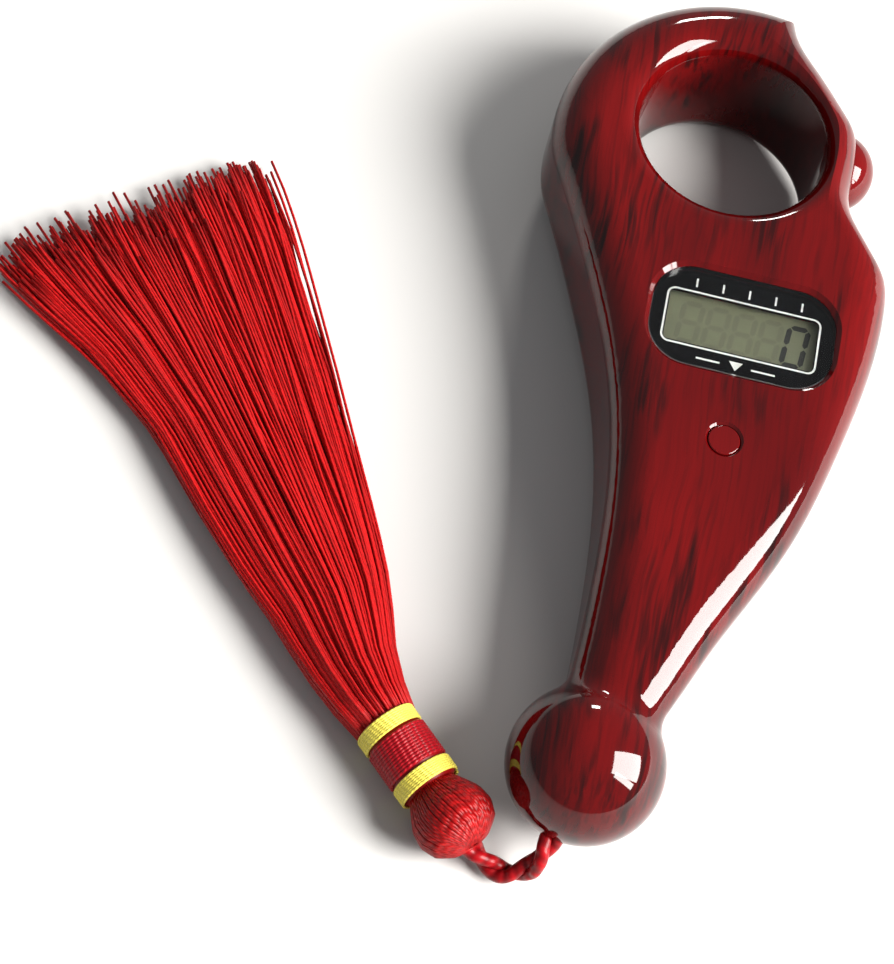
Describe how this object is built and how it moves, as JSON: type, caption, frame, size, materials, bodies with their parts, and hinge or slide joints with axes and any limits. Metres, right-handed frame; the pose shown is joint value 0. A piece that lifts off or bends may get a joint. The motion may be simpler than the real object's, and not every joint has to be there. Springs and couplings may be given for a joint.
{
  "type": "hand tally counter",
  "caption": "Hand-held tally counter: a finger ring with a side press button, a small display and reset button on a tapering grip with a ball end, and a cord tassel.",
  "frame": {"origin": "centre of the body's bounding box at its back face, the tassel left out", "axes": "+X towards the count button, +Y along the grip from the ball end to the finger ring, +Z out of the display"},
  "size_m": [0.0892, 0.0978, 0.0158],
  "materials": {
    "shell": "glossy, wood-grained",
    "button": "glossy",
    "window": "clear, polished",
    "mask": "glossy black print",
    "film": "tinted film",
    "cell_glass": "clear",
    "reflector": "satin",
    "strip": "matte",
    "pad": "matte",
    "board": "satin",
    "chip": "satin",
    "ceramic": "matte",
    "switch_body": "matte",
    "switch_stem": "matte",
    "sheet": "satin",
    "screw": "satin",
    "cell": "satin",
    "wire": "satin",
    "red_cord": "silky",
    "gold_cord": "metallic thread"
  },
  "bodies": {
    "body": {"front_shell": "shell", "rear_shell": "shell", "battery_cover": "shell", "display_window": "window", "window_mask": "mask", "front_polariser": "film", "lcd_front_glass": "cell_glass", "lcd_rear_glass": "cell_glass", "lcd_reflector": "reflector", "contact_strip": "strip", "display_pad": "pad", "circuit_board": "board", "chip_cover": "chip", "capacitors": "ceramic", "resistors": "chip", "reset_switch_base": "switch_body", "reset_switch_cover": "sheet", "reset_switch_dome": "sheet", "reset_switch_legs": "sheet", "count_switch_base": "switch_body", "count_switch_cover": "sheet", "count_switch_dome": "sheet", "count_switch_legs": "sheet", "count_switch_board": "board", "count_switch_wires": "wire", "button_cell": "cell", "negative_contact": "sheet", "positive_contact": "sheet", "case_screws": "screw", "board_screws": "screw", "cover_screw": "screw", "cord": "red_cord", "cord_knot": "red_cord", "tassel_head": "red_cord", "lower_gold_binding": "gold_cord", "red_binding": "red_cord", "upper_gold_binding": "gold_cord", "tassel_skirt": "red_cord"},
    "count_button": {"count_button": "button"},
    "count_plunger": {"count_switch_plunger": "switch_stem"},
    "reset_button": {"reset_button": "button"},
    "reset_plunger": {"reset_switch_plunger": "switch_stem"}
  },
  "joints": [
    {"name": "count_press", "type": "slide", "parent": "body", "child": "count_button", "axis": [-0.9744, -0.225, 0], "range_m": [0, 0.0003], "stiffness_N_per_m": 600, "springref_m": -0.0005},
    {"name": "count_plunger_press", "type": "slide", "parent": "body", "child": "count_plunger", "axis": [-0.9744, -0.225, 0], "range_m": [0, 0.0003]},
    {"name": "reset_press", "type": "slide", "parent": "body", "child": "reset_button", "axis": [0, 0, -1], "range_m": [0, 0.0003], "stiffness_N_per_m": 400, "springref_m": -0.0005},
    {"name": "reset_plunger_press", "type": "slide", "parent": "body", "child": "reset_plunger", "axis": [0, 0, -1], "range_m": [0, 0.0003]}
  ],
  "couplings": [
    {"joint": "count_plunger_press", "follows": "count_press", "ratio": 1},
    {"joint": "reset_plunger_press", "follows": "reset_press", "ratio": 1}
  ]
}
